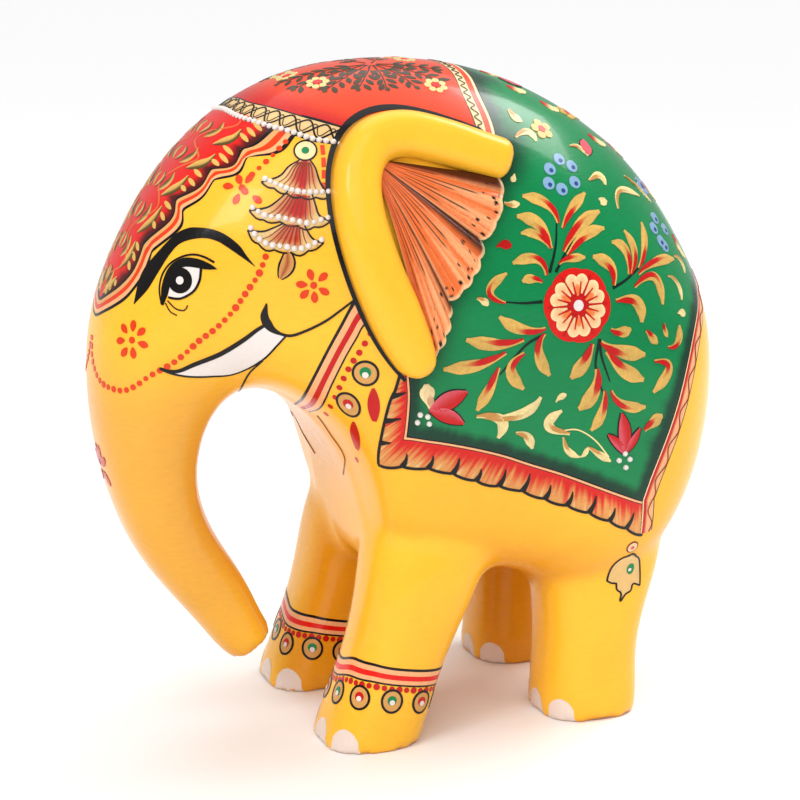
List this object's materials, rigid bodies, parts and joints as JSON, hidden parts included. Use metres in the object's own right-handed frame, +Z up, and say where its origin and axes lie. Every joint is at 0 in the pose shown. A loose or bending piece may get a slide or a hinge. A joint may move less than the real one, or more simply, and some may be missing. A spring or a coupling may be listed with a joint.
{
  "type": "elephant figurine",
  "caption": "Carved and painted wooden elephant figurine with a curled trunk, glued-on ears and a tail strip, standing on flat soles.",
  "frame": {"origin": "middle of the overall box, on the surface that the four soles stand on", "axes": "+Z up, head towards -X, left flank towards -Y; the plane Y = 0 is the plane of symmetry"},
  "size_m": [0.1456, 0.0924, 0.1501],
  "materials": {
    "painted_body": "gloss",
    "painted_ear": "gloss",
    "painted_tail": "gloss",
    "bamboo_peg": "matte"
  },
  "bodies": {
    "root": {"carved_body": "painted_body", "left_ear": "painted_ear", "right_ear": "painted_ear", "left_ear_pegs": "bamboo_peg", "right_ear_pegs": "bamboo_peg", "tail": "painted_tail", "tail_peg": "bamboo_peg"}
  },
  "joints": []
}
